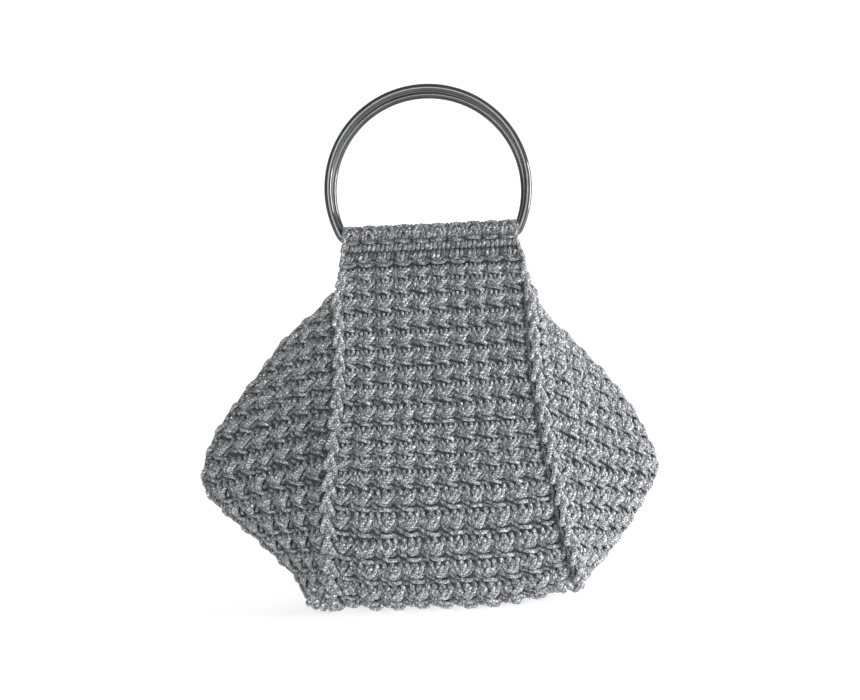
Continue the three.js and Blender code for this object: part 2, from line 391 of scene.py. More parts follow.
class Yarn:
    """Strands of twisted yarn that become one mesh."""

    def __init__(self):
        self.points = []
        self.corners = []
        self.sizes = []
        self.marks = []
        self.heights = []
        self.count = 0

    def add(self, lines, ups, radius, heights):
        """Adds strands along lines of points, with the way up and height above the cloth at each point, which
        paints light and shade into the yarn's colour.
        """
        strands, steps, _ = lines.shape
        run = unit(np.gradient(lines, axis=1))
        aside = unit(np.cross(run, ups))
        above = np.cross(aside, run)
        lengths = np.zeros((strands, steps))
        lengths[:, 1:] = np.cumsum(np.linalg.norm(np.diff(lines, axis=1), axis=-1), axis=1)
        start = draw.uniform(0, 2 * math.pi, (strands, 1, 1))
        lot = draw.uniform(0, 1, strands)
        side = np.arange(YARN_SIDES)
        turn = start + side * 2 * math.pi / YARN_SIDES
        taper = np.ones(steps)
        taper[[0, -1]] = END_TAPER
        size = np.broadcast_to(np.asarray(radius, float).reshape(-1, 1), (strands, steps)) * taper
        ring = np.cos(turn)[..., None] * aside[:, :, None] + np.sin(turn)[..., None] * above[:, :, None]
        points = lines[:, :, None] + size[..., None, None] * ring
        points[..., 2] = np.maximum(points[..., 2], FLOOR_CLEARANCE)
        self.points.append(points.reshape(-1, 3))
        self.heights.append((heights[..., None] + size[..., None] * np.sin(turn)).reshape(-1))

        index = self.count + np.arange(strands * steps * YARN_SIDES).reshape(strands, steps, YARN_SIDES)
        following = np.roll(index, -1, axis=2)
        quads = np.stack([index[:, :-1], following[:, :-1], following[:, 1:], index[:, 1:]], -1)
        caps = np.stack([index[:, 0, ::-1], index[:, -1]], 1)
        self.corners.append(quads.reshape(-1))
        self.sizes.append(np.full(quads.size // 4, 4))
        self.corners.append(caps.reshape(-1))
        self.sizes.append(np.full(caps.size // YARN_SIDES, YARN_SIDES))
        self.count += points.size // 3

        shape = quads.shape
        near = np.broadcast_to(lengths[:, :-1, None], shape[:3])
        far = np.broadcast_to(lengths[:, 1:, None], shape[:3])
        ply = np.broadcast_to(side, shape[:3])
        lots = np.broadcast_to(lot[:, None, None], shape[:3])
        mark = np.stack([
            np.stack([near, ply, lots], -1),
            np.stack([near, ply + 1, lots], -1),
            np.stack([far, ply + 1, lots], -1),
            np.stack([far, ply, lots], -1),
        ], -2)
        self.marks.append(mark.reshape(-1, 3))
        ends = np.ones((strands, 2, YARN_SIDES, 3))
        ends[..., 2] = lot[:, None, None]
        self.marks.append(ends.reshape(-1, 3))

    def make(self, name, material):
        """One object of all the strands."""
        points = np.concatenate(self.points) * MILLIMETRE
        mesh = mesh_of(name, points, np.concatenate(self.corners), np.concatenate(self.sizes))
        marks = mesh.attributes.new("yarn", "FLOAT_VECTOR", "CORNER")
        marks.data.foreach_set("vector", np.concatenate(self.marks).astype(np.float32).ravel())
        # The yarn's height above the cloth, which the material turns into painted light and shade
        heights = mesh.attributes.new("height", "FLOAT", "POINT")
        heights.data.foreach_set("value", np.concatenate(self.heights).astype(np.float32))
        return object_of(name, mesh, material)


def mesh_of(name, points, corners, sizes):
    """A smooth mesh from points in metres, its faces' corners in a row, and each face's number of them."""
    mesh = bpy.data.meshes.new(name)
    mesh.vertices.add(len(points))
    mesh.vertices.foreach_set("co", points.astype(np.float32).ravel())
    mesh.loops.add(len(corners))
    mesh.loops.foreach_set("vertex_index", corners.astype(np.int32))
    mesh.polygons.add(len(sizes))
    starts = np.concatenate([[0], np.cumsum(sizes)[:-1]])
    mesh.polygons.foreach_set("loop_start", starts.astype(np.int32))
    mesh.polygons.foreach_set("use_smooth", np.ones(len(sizes), bool))
    mesh.update(calc_edges=True)
    return mesh


def object_of(name, mesh, material):
    """An object in the scene with one material."""
    mesh.materials.append(material)
    made = bpy.data.objects.new(name, mesh)
    bpy.context.scene.collection.objects.link(made)
    return made


def strand(radius, *knots):
    """A strand of a stitch: knots as shares across and up its cell, and millimetres above the cloth."""
    knots = np.array(knots, float)
    length = travel_of(spline(len(knots), LENGTH_SAMPLES) @ (knots * NOMINAL_CELL))[-1]
    return radius, knots, spline(len(knots), max(LEAST_SAMPLES, round(length / YARN_STEP) + 1))


# One motif of the crochet: a double slanting wrap in front of a fan of posts, with a hole at its lower right
CLUSTER = (
    strand(
        1.4, (0.39, 0.25, -2.0), (0.49, 0.37, 1.0), (0.65, 0.55, 1.5), (0.77, 0.71, 0.8), (0.81, 0.83, -2.0)),
    strand(
        1.4, (0.28, 0.30, -2.0), (0.38, 0.45, 1.0), (0.52, 0.63, 1.4), (0.60, 0.76, 0.6), (0.63, 0.87, -2.0)),
    strand(1.5, (0.02, 0.81, -2.2), (0.06, 0.65, -0.4), (0.11, 0.51, -0.5), (0.20, 0.33, -2.2)),
    strand(1.5, (0.19, 0.83, -2.2), (0.22, 0.68, -0.1), (0.26, 0.54, -0.2), (0.34, 0.36, -2.2)),
    strand(1.4, (0.40, 0.88, -2.0), (0.40, 0.77, -0.2), (0.43, 0.62, -0.8)),
    strand(1.35, (0.86, 0.86, -2.2), (0.93, 0.70, -1.0), (0.93, 0.55, -1.2), (0.86, 0.38, -2.4)),
    strand(1.25, (0.52, 0.24, -2.3), (0.65, 0.33, -0.9), (0.76, 0.43, -0.9), (0.85, 0.56, -2.2)),
    strand(1.3, (-0.14, 0.45, -2.3), (-0.03, 0.36, -1.2), (0.08, 0.28, -0.8), (0.20, 0.20, -1.8)),
    strand(1.2, (0.76, 0.20, -2.2), (0.90, 0.10, -1.3), (1.04, 0.06, -1.3), (1.16, 0.02, -2.2)),
)
BAR = (
    strand(
        1.3, (0.21, 0.18, -2.0), (0.31, 0.145, 0.3), (0.49, 0.12, 0.8), (0.67, 0.11, 0.4),
        (0.78, 0.09, -2.0)),
)
LOWER_ARM = (
    strand(
        1.3, (0.20, 0.33, -2.0), (0.31, 0.24, 0.4), (0.48, 0.15, 0.8), (0.63, 0.10, 0.3), (0.74, 0.07, -2.0)),
)


BEAD_SLANT = (0.42, 0.50, 0.60)
BEAD_ENDS = -2.0


def beads(count, radius, top, foot, lift):
    """Small loops side by side above a motif, with their top and foot as shares up its cell."""
    knots = ((top, BEAD_ENDS), ((top + foot) / 2, lift), (foot, BEAD_ENDS))
    return tuple(
        strand(radius, *(((i + share) / count, *knot) for share, knot in zip(BEAD_SLANT, knots)))
        for i in range(count)
    )


MOTIF = CLUSTER + BAR + beads(3, 1.45, 1.0, 0.79, 0.1)
CLOSE_MOTIF = CLUSTER + LOWER_ARM + beads(4, 1.15, 1.01, 0.75, 0.4)
WING_MOTIF = CLUSTER + LOWER_ARM + beads(3, 1.45, 0.995, 0.78, 0.2)


def cells_of(rows):
    """Cells from rows of (low, high, edges): the edges between cells along the row."""
    found = [(left, right, low, high) for low, high, edges in rows for left, right in zip(edges, edges[1:])]
    return np.array(found, float)


SHAKE = 0.018
LIFT_SHAKE = 0.1


def lay(yarn, cloth, cells, stitch, sink, thickness=1.0):
    """Lays a stitch in each cell of a cloth. The sink at a place across is taken off the yarn's height, as
    painted shade; it does not move the yarn.
    """
    left, right, low, high = (cells[:, i, None] for i in range(4))
    shift = draw.normal(0, SHAKE, (len(cells), 1, 3))
    for radius, knots, curve in stitch:
        loose = draw.normal(0, 1, (len(cells), len(knots), 3)) * np.array([SHAKE, SHAKE, LIFT_SHAKE])
        places = np.einsum("sk,ckd->csd", curve, knots + shift * np.array([1, 1, 0]) + loose)
        across = blend(left, right, places[..., 0])
        points, out = cloth(across, blend(low, high, places[..., 1]))
        yarn.add(points + out * places[..., 2:], out, radius * thickness, places[..., 2] - sink(across))


# Materials

def nodes_of(name):
    """A new material with its tree's nodes, links and shader."""
    material = bpy.data.materials.new(name)
    material.use_nodes = True
    tree = material.node_tree
    return material, tree.nodes, tree.links, tree.nodes["Principled BSDF"]


def number(nodes, links, operation, *values):
    """A math node's result; each value is a number or a socket."""
    node = nodes.new("ShaderNodeMath")
    node.operation = operation
    for socket, value in zip(node.inputs, values):
        if isinstance(value, (int, float)):
            socket.default_value = value
        else:
            links.new(value, socket)
    return node.outputs[0]


def noise(nodes, links, vector, scale, detail=2.0, roughness=0.5):
    """A noise texture's value."""
    node = nodes.new("ShaderNodeTexNoise")
    node.inputs["Scale"].default_value = scale
    node.inputs["Detail"].default_value = detail
    node.inputs["Roughness"].default_value = roughness
    links.new(vector, node.inputs["Vector"])
    return node.outputs["Fac"]


def ramp(nodes, links, value, *stops):
    """A colour ramp with stops of (place, grey or colour)."""
    node = nodes.new("ShaderNodeValToRGB")
    elements = node.color_ramp.elements
    while len(elements) < len(stops):
        elements.new(0.5)
    for element, (place, colour) in zip(elements, stops):
        element.position = place
        element.color = (*np.broadcast_to(colour, 3), 1)
    links.new(value, node.inputs["Fac"])
    return node.outputs["Color"]


def bump(nodes, links, height, strength, distance):
    """A bump node's normal."""
    node = nodes.new("ShaderNodeBump")
    node.inputs["Strength"].default_value = strength
    node.inputs["Distance"].default_value = distance
    links.new(height, node.inputs["Height"])
    return node.outputs["Normal"]


def mixed(nodes, links, kind, share, a, b):
    """Two colours mixed."""
    node = nodes.new("ShaderNodeMix")
    node.data_type = "RGBA"
    node.blend_type = kind
    for socket, value in zip((node.inputs["Factor"], node.inputs[6], node.inputs[7]), (share, a, b)):
        if isinstance(value, (int, float, tuple)):
            socket.default_value = value
        else:
            links.new(value, socket)
    return node.outputs[2]


FLECKS_PER_MM = 1.1
FIBRES_PER_METRE = 2600.0
SIDE_WIDTH = 1.3
LOT_SPREAD = 91.0
PLIES_PER_MM = 0.6
PLIES = 3
# How the yarn's height above the cloth, in millimetres, becomes painted light and shade in its colour
SHADE_PER_MM = 0.2
SHADE_ON_CLOTH = 0.6


def yarn_material():
    """Marled grey yarn of three plies: flecks, painted shade in the grooves between plies, and painted light
    and shade by how deep the yarn lies in the stitches.
    """
    material, nodes, links, shader = nodes_of("marled_yarn")
    mark = nodes.new("ShaderNodeAttribute")
    mark.attribute_name = "yarn"
    split = nodes.new("ShaderNodeSeparateXYZ")
    links.new(mark.outputs["Vector"], split.inputs[0])
    length, place, lot = split.outputs
    where = nodes.new("ShaderNodeCombineXYZ")
    links.new(length, where.inputs[0])
    links.new(number(nodes, links, "MULTIPLY", place, SIDE_WIDTH), where.inputs[1])
    links.new(number(nodes, links, "MULTIPLY", lot, LOT_SPREAD), where.inputs[2])
    fleck = noise(nodes, links, where.outputs[0], FLECKS_PER_MM, detail=1.5, roughness=0.6)
    marl = ramp(
        nodes, links, fleck,
        (0.35, (0.10, 0.103, 0.112)), (0.47, (0.26, 0.268, 0.287)), (0.55, (0.41, 0.422, 0.446)),
        (0.66, (0.80, 0.816, 0.847)),
    )
    around = number(nodes, links, "MULTIPLY", place, PLIES / YARN_SIDES)
    ply = number(nodes, links, "MULTIPLY_ADD", length, PLIES_PER_MM, around)
    crown = number(nodes, links, "PINGPONG", ply, 0.5)
    # Painted shade: the colour darkens in the grooves between the plies
    grooves = ramp(nodes, links, crown, (0.0, 0.4), (0.2, 0.9), (0.5, 1.0))
    cycle = number(nodes, links, "FRACT", number(nodes, links, "DIVIDE", ply, float(PLIES)))
    shades = ramp(
        nodes, links, cycle,
        (0.0, 1.15), (0.3, 1.15), (0.36, 0.75), (0.63, 0.75), (0.7, 1.0), (0.97, 1.0))
    # Painted light and shade: yarn high above the cloth is lighter, yarn deep in the stitches darker
    height = nodes.new("ShaderNodeAttribute")
    height.attribute_name = "height"
    raised = number(nodes, links, "MULTIPLY_ADD", height.outputs["Fac"], SHADE_PER_MM, SHADE_ON_CLOTH)
    shade = ramp(
        nodes, links, raised,
        (0.2, 0.26), (0.6, 0.68), (0.8, 0.94), (1.0, 1.15))
    tone = mixed(nodes, links, "MULTIPLY", 1.0, marl, grooves)
    tone = mixed(nodes, links, "MULTIPLY", 1.0, tone, shades)
    links.new(mixed(nodes, links, "MULTIPLY", 1.0, tone, shade), shader.inputs["Base Color"])
    coords = nodes.new("ShaderNodeTexCoord")
    fibres = noise(nodes, links, coords.outputs["Object"], FIBRES_PER_METRE)
    relief = number(nodes, links, "MULTIPLY_ADD", fibres, 0.25, crown)
    links.new(bump(nodes, links, relief, strength=0.8, distance=0.0009), shader.inputs["Normal"])
    shader.inputs["Roughness"].default_value = 0.72
    shader.inputs["Specular IOR Level"].default_value = 0.35
    shader.inputs["Sheen Weight"].default_value = 0.25
    shader.inputs["Sheen Roughness"].default_value = 0.5
    return material


def backing_material():
    """A dark yarn colour for the sheet deep between the stitches: painted shade where only shade shows."""
    material, nodes, links, shader = nodes_of("painted_shade_backing")
    coords = nodes.new("ShaderNodeTexCoord")
    grain = noise(nodes, links, coords.outputs["Object"], 700.0, detail=3.0, roughness=0.6)
    # Painted shade: the sheet is coloured as yarn deep in shade
    tone = ramp(nodes, links, grain, (0.36, (0.02, 0.0206, 0.022)), (0.64, (0.085, 0.0875, 0.093)))
    links.new(tone, shader.inputs["Base Color"])
    links.new(bump(nodes, links, grain, strength=0.6, distance=0.0012), shader.inputs["Normal"])
    shader.inputs["Roughness"].default_value = 0.9
    return material


INSIDE_STITCH = 0.0072
INSIDE_ROW = 0.0066


def inside_material():
    """The wrong side of the crochet: rows of small marled lumps, each row shifted by half a lump, with
    painted shade between the lumps.
    """
    material, nodes, links, shader = nodes_of("yarn_inside")
    coords = nodes.new("ShaderNodeTexCoord")
    split = nodes.new("ShaderNodeSeparateXYZ")
    links.new(coords.outputs["Object"], split.inputs[0])
    x, y, z = split.outputs
    row = number(nodes, links, "DIVIDE", number(nodes, links, "ADD", z, y), INSIDE_ROW)
    shift = number(nodes, links, "MULTIPLY", number(nodes, links, "FLOOR", row), 0.5)
    column = number(nodes, links, "DIVIDE", number(nodes, links, "ADD", x, y), INSIDE_STITCH)
    column = number(nodes, links, "ADD", column, shift)
    lump = number(
        nodes, links, "MULTIPLY",
        number(nodes, links, "PINGPONG", row, 0.5), number(nodes, links, "PINGPONG", column, 0.5))
    flecks = noise(nodes, links, coords.outputs["Object"], 900.0, roughness=0.6)
    marl = ramp(nodes, links, flecks, (0.36, (0.12, 0.124, 0.134)), (0.64, (0.6, 0.612, 0.635)))
    # Painted shade: darker between the lumps
    depth = ramp(nodes, links, lump, (0.0, 0.3), (0.06, 0.75), (0.2, 1.0))
    links.new(mixed(nodes, links, "MULTIPLY", 1.0, marl, depth), shader.inputs["Base Color"])
    relief = number(nodes, links, "MULTIPLY_ADD", flecks, 0.05, lump)
    links.new(bump(nodes, links, relief, strength=0.9, distance=0.006), shader.inputs["Normal"])
    shader.inputs["Roughness"].default_value = 0.85
    return material


def metal_material():
    """Dark chrome under a thin satin lacquer, with faint scratches."""
    material, nodes, links, shader = nodes_of("dark_chrome")
    coords = nodes.new("ShaderNodeTexCoord")
    wear = noise(nodes, links, coords.outputs["Object"], 60.0, detail=4.0, roughness=0.6)
    tone = ramp(nodes, links, wear, (0.3, (0.085, 0.0855, 0.087)), (0.7, (0.112, 0.1125, 0.114)))
    links.new(tone, shader.inputs["Base Color"])
    links.new(number(nodes, links, "MULTIPLY_ADD", wear, 0.08, 0.06), shader.inputs["Roughness"])
    scratches = noise(nodes, links, coords.outputs["Object"], 900.0)
    links.new(bump(nodes, links, scratches, strength=0.02, distance=0.0002), shader.inputs["Normal"])
    shader.inputs["Metallic"].default_value = 0.55
    shader.inputs["Specular Tint"].default_value = (0.6, 0.6, 0.6, 1)
    return material


PAPER_GLOW = 0.72
FRONT_GLOW = 0.1
GLOW_STARTS = -0.42
GLOW_FULL = -0.27


def stage_material():
    """Matt paper that glows, dim in front of the bag and full from just in front of it backwards: painted
    light, as a studio sweep lit from behind looks.
    """
    material, nodes, links, shader = nodes_of("pale_paper")
    coords = nodes.new("ShaderNodeTexCoord")
    grain = noise(nodes, links, coords.outputs["Object"], 30.0)
    tone = ramp(nodes, links, grain, (0.3, 0.54), (0.7, 0.56))
    links.new(tone, shader.inputs["Base Color"])
    split = nodes.new("ShaderNodeSeparateXYZ")
    links.new(coords.outputs["Object"], split.inputs[0])
    # Painted light: the paper's glow, which also lights the bag
    share = number(nodes, links, "SUBTRACT", split.outputs[1], GLOW_STARTS)
    glow = ramp(nodes, links, share, (0.0, FRONT_GLOW), (GLOW_FULL - GLOW_STARTS, PAPER_GLOW))
    links.new(glow, shader.inputs["Emission Strength"])
    shader.inputs["Roughness"].default_value = 0.9
    shader.inputs["Emission Color"].default_value = (1, 1, 1, 1)
    return material


YARN = yarn_material()
BACKING = backing_material()
INSIDE = inside_material()
METAL = metal_material()


# Backing walls of the cloth

BACKING_HALF = 0.9
BACKING_DEPTH = 2.6
PANEL_TOP = 206
PANEL_ROWS = 101
PANEL_COLUMNS = 31
HEM_WALL_STARTS = 2.5
HEM_WALL_SHORT = 1
HEM_WALL_ROWS = 36
GUSSET_WALL_ROWS = 61
GUSSET_WALL_COLUMNS = 49


def shell(name, middle):
    """A closed sheet about a grid of points, which shows the wrong side of the crochet inside the bag."""
    along = np.gradient(middle, axis=0)
    across = np.gradient(middle, axis=1)
    out = unit(np.cross(along, across))
    rows, columns, _ = middle.shape
    half = out * BACKING_HALF
    points = np.concatenate([(middle + half).reshape(-1, 3), (middle - half).reshape(-1, 3)])
    index = np.arange(rows * columns).reshape(rows, columns)
    below = index + rows * columns
    tops = np.stack([index[:-1, :-1], index[1:, :-1], index[1:, 1:], index[:-1, 1:]], -1)
    bottoms = np.stack([below[:-1, :-1], below[:-1, 1:], below[1:, 1:], below[1:, :-1]], -1)
    rim = np.concatenate([index[0, :-1], index[:-1, -1], index[-1, :0:-1], index[:0:-1, 0]])
    on = np.roll(rim, -1)
    rims = np.stack([rim, on, on + rows * columns, rim + rows * columns], -1)
    corners = np.concatenate([tops.reshape(-1), bottoms.reshape(-1), rims.reshape(-1)])
    mesh = mesh_of(name, points * MILLIMETRE, corners, np.full(len(corners) // 4, 4))
    # The backing's painted shade goes on every face but the inside below the panel's top
    made = object_of(name, mesh, BACKING)
    mesh.materials.append(INSIDE)
    low = middle[:-1, :-1, 2].reshape(-1) < PANEL_TOP
    top_is_inside = np.sum((middle.mean((0, 1)) - middle) * out) > 0
    chosen = np.concatenate([low & top_is_inside, low & ~top_is_inside, np.zeros(len(rims), bool)])
    mesh.polygons.foreach_set("material_index", chosen.astype(np.int32))
    return made


def strip_wall():
    """The strip's backing: a hem's flap, over the bar, down the panel, the base, and up to the other flap."""
    across = np.linspace(-1, 1, PANEL_COLUMNS)
    top = place_of(STRIP, "mid_height", PANEL_TOP) / STRIP_LAST
    along = np.linspace(-top, top, PANEL_ROWS)[:, None]
    panel = strip_cloth(across, np.interp(-along, -STRIP_ALONG, STRIP_TRAVEL))
    panel = panel[0] - panel[1] * BACKING_DEPTH
    travels = np.linspace(HEM_WALL_STARTS, HEM_TRAVEL[-1] - HEM_WALL_SHORT, HEM_WALL_ROWS)[:, None]
    hems = {}
    for face in (-1, 1):
        points, out = hem_cloth(face)(-face * across, travels)
        hems[face] = points - out * BACKING_DEPTH
    return shell("body_cloth", np.concatenate([hems[-1], panel, hems[1][::-1]]))


def gusset_wall(name, side):
    """A gusset's backing."""
    cloth, height = gusset_cloth(side)
    across = np.linspace(-1, 1, GUSSET_WALL_COLUMNS)
    travel = np.linspace(0, height, GUSSET_WALL_ROWS)[:, None]
    points, out = cloth(across, travel)
    return shell(name, points - out * BACKING_DEPTH)


# Crochet on the cloth

COLUMNS = 10
STITCH_LINE_HEIGHT = 213.2
ROW_PITCHES = (
    7.3, 10.3, 11.3, 11.9, 11.6, 11.5, 11.4, 12.5, 12.9, 10.4, 8.6, 8.4, 11.4, 13.8, 16.5, 15.3, 14.4, 15.5)
BASE_ROWS = 7
GUSSET_ROWS = 16
GUSSET_PITCH = 14.3
GUSSET_ROW_SAMPLES = 101


def strip_rows():
    """Rows of the strip for the back, the base and the front, as lines of travel."""
    line = strip_point(STRIP_ALONG, 0.0)
    middle = len(STRIP_ALONG) // 2
    back_top = np.interp(-STITCH_LINE_HEIGHT, -line[:middle, 2], STRIP_TRAVEL[:middle])
    total = STRIP_TRAVEL[-1]
    back = back_top + np.concatenate([[0], np.cumsum(ROW_PITCHES)])
    front = (total - back)[::-1]
    base = np.linspace(back[-1], front[0], BASE_ROWS + 1)
    return back, base, front


CLOSE_ROW = 12.7
TALL_LEAST = 0.6
TALL_MOST = 1.15
TALL_SHARE = 0.34


def strip_stitches(name, lines):
    """Motifs on rows of the strip between lines of travel."""
    yarn = Yarn()
    edges = np.linspace(-1, 1, COLUMNS + 1)
    for low, high in zip(lines, lines[1:]):
        stitch = CLOSE_MOTIF if high - low < CLOSE_ROW else MOTIF
        tall = np.clip((high - low) / NOMINAL_CELL[1], TALL_LEAST, TALL_MOST)
        cells = cells_of([(low, high, edges)])
        # The valley beside the right seam is also painted shade in the stitches' colour
        lay(yarn, strip_cloth, cells, stitch, sink=valley, thickness=blend(1, tall, TALL_SHARE))
    return yarn.make(name, YARN)


FOOT_KNOTS = table(
    ("x", "y", "z", "radius"),
    (-70, -44.5, 6.4, 2.8),
    (-75, -43, 6.6, 3.0),
    (-80, -40, 7.0, 3.0),
    (-84, -35.5, 8.2, 3.0),
    (-73, -38, 7.5, 3.2),
    (-77.5, -34, 8.0, 3.2),
    (-82, -29, 9.0, 3.2),
    (-72, -41, 12.0, 3.0),
    (-77, -37, 12.5, 3.0),
    (-81, -32, 13.5, 3.0),
    (-84, -24, 13.0, 3.0),
    (71.5, -43.5, 11.0, 2.6),
    (76, -42, 12.5, 2.6),
    (80, -39, 15.0, 2.6),
)
FOOT_LOOP = spline(4, 8) @ np.array([(1.8, 3.0, 3.2), (0.7, 0, 1.8), (-0.9, -0.4, -0.8), (-1.8, 2.4, -2.6)])
FOOT_UP = np.array([0.4, -0.9, 0])
# Painted shade on the foot's knots, as heights in millimetres: darker where a loop runs back into the bag,
# and darker overall
FOOT_SHADE_SLOPE = 0.8
FOOT_SHADE_DEPTH = 0.6


def foot_knots(yarn, side):
    """Thick loops that gather the front corner at the foot of a gusset."""
    middles = np.stack([FOOT_KNOTS[name] for name in ("x", "y", "z")], -1)
    chosen = middles[:, 0] * side > 0
    middles = middles[chosen]
    loop = FOOT_LOOP * np.array([-side, 1, 1])
    ups = np.broadcast_to(FOOT_UP * np.array([side, 1, 1]), (len(middles), len(loop), 3))
    heights = np.broadcast_to(-FOOT_SHADE_SLOPE * loop[:, 1] - FOOT_SHADE_DEPTH, (len(middles), len(loop)))
    yarn.add(middles[:, None] + loop, unit(ups), FOOT_KNOTS["radius"][chosen], heights)


# How much painted shade darkens the lowest stitches of a gusset, as a depth in millimetres, and how far up
# that reaches
FOOT_SHADES = {-1: 1.1, 1: 0}
FOOT_SHADE_TO = 0.62

# The strand along a gusset's ridge
RIDGE_RADIUS = 1.6
RIDGE_STEPS = 120
RIDGE_SHORT = 1
RIDGE_RISE = 0.2
RIDGE_WAVE = 0.35
# Painted shade on the ridge strand, as a depth in millimetres taken off its height
RIDGE_SHADE = 1


def gusset_stitches(name, side):
    """Motifs on a gusset, as many along each row as its length takes."""
    cloth, height = gusset_cloth(side)
    lines = np.linspace(0, height, GUSSET_ROWS + 1)
    rows = []
    across = np.linspace(-1, 1, GUSSET_ROW_SAMPLES)
    for low, high in zip(lines, lines[1:]):
        travel = travel_of(cloth(across, np.full_like(across, (low + high) / 2))[0])
        count = 2 * round((travel[-1] / GUSSET_PITCH - 1) / 2) + 1
        rows.append((low, high, np.interp(np.linspace(0, travel[-1], count + 1), travel, across)))
    yarn = Yarn()
    for row in rows:
        # Painted shade: the lowest rows darker, and the sunken stitches beside the seams darker still
        shade = FOOT_SHADES[side] * np.clip(1 - row[0] / (FOOT_SHADE_TO * height), 0, 1)
        lay(yarn, cloth, cells_of([row]), WING_MOTIF, sink=lambda across: seam_sink(side, across) + shade)
    travel = np.linspace(RIDGE_SHORT, height - RIDGE_SHORT, RIDGE_STEPS)
    rise = RIDGE_RISE + RIDGE_WAVE * np.sin(travel * 2 * math.pi / (lines[1] - lines[0]))
    points, out = cloth(np.zeros(RIDGE_STEPS), travel)
    yarn.add((points + out * rise[:, None])[None], out[None], RIDGE_RADIUS, rise[None] - RIDGE_SHADE)
    foot_knots(yarn, side)
    return yarn.make(name, YARN)


# Rows of a hem from its stitched edge upwards, over the fold and down inside
HEM_BARS = (
    strand(1.3, (0.02, 0.62, -2.2), (0.25, 0.48, -0.1), (0.60, 0.42, 0.0), (0.92, 0.52, -2.2)),
    strand(1.2, (0.55, 0.72, -2.2), (0.78, 0.85, -0.7), (1.05, 0.72, -2.2)),
)
HEM_KNOTS = (
    strand(1.5, (0.08, 0.12, -2.2), (0.13, 0.48, 0.5), (0.20, 0.84, -2.2)),
    strand(1.5, (0.33, 0.12, -2.2), (0.39, 0.48, 0.6), (0.46, 0.84, -2.2)),
    strand(1.35, (0.59, 0.14, -2.2), (0.65, 0.50, 0.1), (0.72, 0.84, -2.2)),
    strand(1.2, (0.83, 0.16, -2.3), (0.90, 0.52, -0.8), (0.96, 0.84, -2.3)),
    strand(1.2, (0.04, 0.00, -2.0), (0.32, 0.06, 0.0), (0.66, 0.00, -2.0)),
)
HEM_BEADS = tuple(
    strand(1.4, (u - 0.04, 0.10, -2.3), (u + 0.01, 0.47, 0.5), (u + 0.05, 0.84, -2.3))
    for u in np.arange(4) / 4
)
HEM_DOME = (
    strand(
        1.45, (0.10, 0.13, -2.0), (0.12, 0.38, 0.3), (0.28, 0.66, 0.7), (0.52, 0.76, 0.7), (0.76, 0.64, 0.7),
        (0.88, 0.38, 0.3), (0.88, 0.13, -2.0)),
    strand(
        1.4, (0.29, 0.11, -2.0), (0.31, 0.36, 0.4), (0.50, 0.51, 0.8), (0.69, 0.36, 0.4),
        (0.69, 0.11, -2.0)),
    strand(1.35, (0.50, 0.06, -2.2), (0.50, 0.22, -0.6), (0.50, 0.36, -0.9)),
    strand(1.25, (0.05, 0.07, -2.0), (0.30, 0.05, 0.1), (0.64, 0.04, 0.1), (0.92, 0.03, -2.0)),
    strand(1.5, (0.14, 0.62, -2.0), (0.26, 0.86, 0.1), (0.28, 1.05, -2.0)),
    strand(1.5, (0.50, 0.70, -2.0), (0.52, 0.95, 0.2), (0.53, 1.10, -2.0)),
    strand(1.5, (0.86, 0.62, -2.0), (0.78, 0.86, 0.1), (0.77, 1.05, -2.0)),
    strand(1.5, (0.98, 0.24, -2.2), (1.00, 0.58, -0.4), (1.00, 1.00, -2.0)),
)
HEM_ROWS = (
    (0.2, 4.0, HEM_BARS),
    (4.0, 10.0, HEM_KNOTS),
    (10.0, 15.6, HEM_BEADS),
    (15.6, 30.0, HEM_DOME),
    (30.0, 35.5, HEM_BEADS),
    (35.5, 42.5, HEM_KNOTS),
    (42.5, 48.0, HEM_BEADS),
    (48.0, 55.0, HEM_KNOTS),
)
# Painted shade over the whole hem, as a depth in millimetres taken off the yarn's height
HEM_SHADE = 0.85

# The strand along each end of a hem, set in by two amounts: at the stitched edge, and from the turn upwards
HEM_END_RADIUS = 1.3
HEM_END_INSETS = {-1: (0.7, 1.0), 1: (-0.6, 1.0)}
HEM_END_TURN = 14
HEM_END_STEPS = 48
HEM_END_SPAN = (0.5, 52)
HEM_END_WAVE = 0.5
HEM_END_RATE = 1.5
HEM_END_DEPTH = 0.2


def hem_stitches(name, face):
    """The crochet on a hem, whose outside is the wrong side of the strip."""
    yarn = Yarn()
    cloth = hem_cloth(face)
    edges = np.linspace(-1, 1, COLUMNS + 1)
    for low, high, stitch in HEM_ROWS:
        lay(yarn, cloth, cells_of([(low, high, edges)]), stitch, sink=lambda across: HEM_SHADE)
    travel = np.linspace(*HEM_END_SPAN, HEM_END_STEPS)
    rise = HEM_END_WAVE * np.sin(travel * HEM_END_RATE) - HEM_END_DEPTH
    for end in (-1, 1):
        points, out = cloth(np.full(HEM_END_STEPS, float(end)), travel)
        side = np.sign(points[0, 0])
        points[:, 0] -= side * np.interp(travel, (0, HEM_END_TURN), HEM_END_INSETS[side])
        yarn.add((points + out * rise[:, None])[None], out[None], HEM_END_RADIUS, rise[None])
    return yarn.make(name, YARN)


# Braided seams

